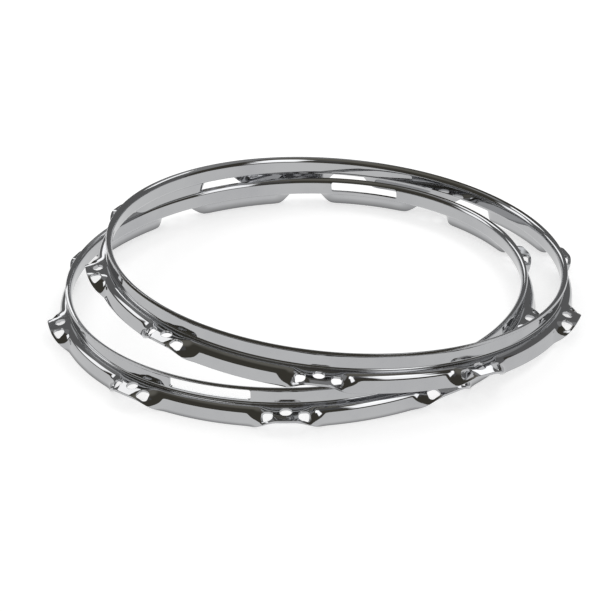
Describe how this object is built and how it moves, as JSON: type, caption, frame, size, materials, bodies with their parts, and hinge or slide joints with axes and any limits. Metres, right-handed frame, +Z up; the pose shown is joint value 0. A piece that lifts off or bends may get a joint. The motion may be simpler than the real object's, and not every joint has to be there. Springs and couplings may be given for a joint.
{
  "type": "drum hoop pair",
  "caption": "Matched pair of pressed steel drum hoops with flanged rims and tension rod ears, one with snare gates lying flat, the other leaning on it.",
  "frame": {"origin": "middle of the pair's footprint, on the surface that it lies on", "axes": "+Z up, along the axis of the hoop that lies flat; the upper hoop is shifted toward +X and its low side is at +X"},
  "size_m": [0.4198, 0.403, 0.0651],
  "materials": {
    "chrome": "polished chrome plate on pressed steel"
  },
  "bodies": {
    "snare_side_hoop": {"snare_side_hoop": "chrome"},
    "batter_hoop": {"batter_hoop": "chrome"}
  },
  "joints": [
    {"name": "batter_hoop_lift", "type": "slide", "parent": "snare_side_hoop", "child": "batter_hoop", "axis": [0, 0, 1], "range_m": [0, 0.06]}
  ]
}
